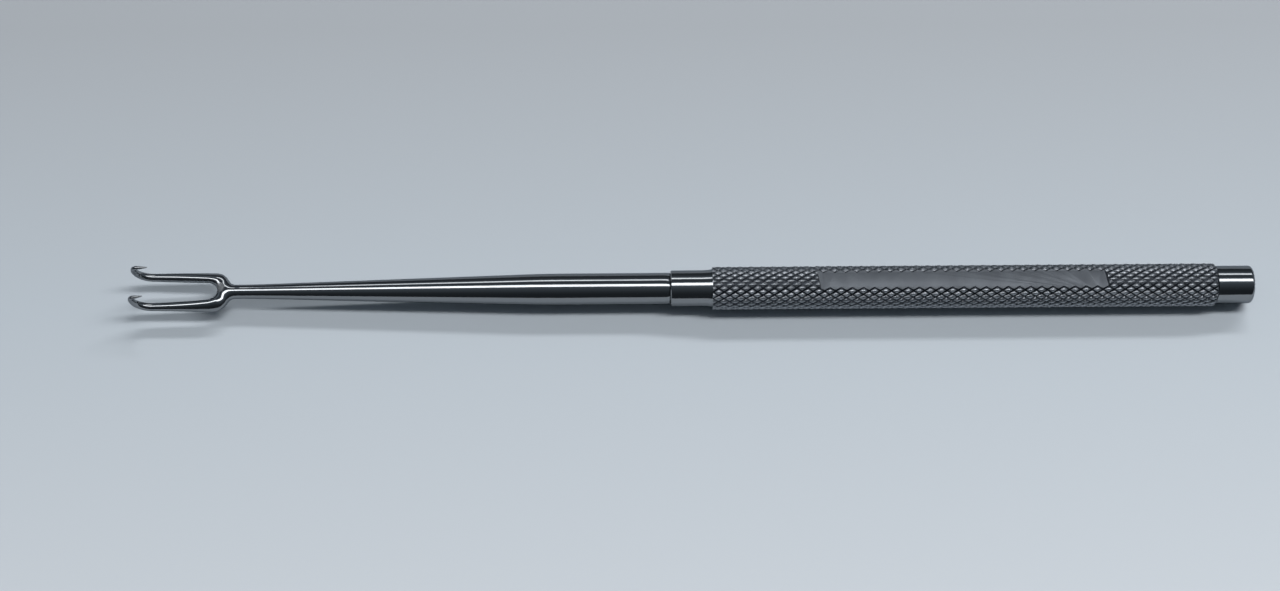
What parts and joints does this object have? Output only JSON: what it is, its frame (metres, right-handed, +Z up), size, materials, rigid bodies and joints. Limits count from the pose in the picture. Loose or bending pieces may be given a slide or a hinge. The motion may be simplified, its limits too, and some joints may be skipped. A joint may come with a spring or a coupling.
{
  "type": "handheld surgical retractor",
  "caption": "Slender double skin hook of stainless steel, with sharp upturned hooks on a fork, a tapered shank and a diamond-knurled handle with a marking flat.",
  "frame": {"origin": "middle of the footprint, on the surface that the knurled grip lies on", "axes": "+X along the instrument, from the hooks to the tail; +Z up, the way the hooks' bends and the marking flat face; +Y across, so that the fork lies in a horizontal plane"},
  "size_m": [0.166, 0.0064, 0.0072],
  "materials": {
    "polished_steel": "mirror-polished stainless steel",
    "knurled_steel": "matte knurled stainless steel, with polished collar and tail"
  },
  "bodies": {
    "root": {"working_end": "polished_steel", "handle": "knurled_steel"}
  },
  "joints": []
}
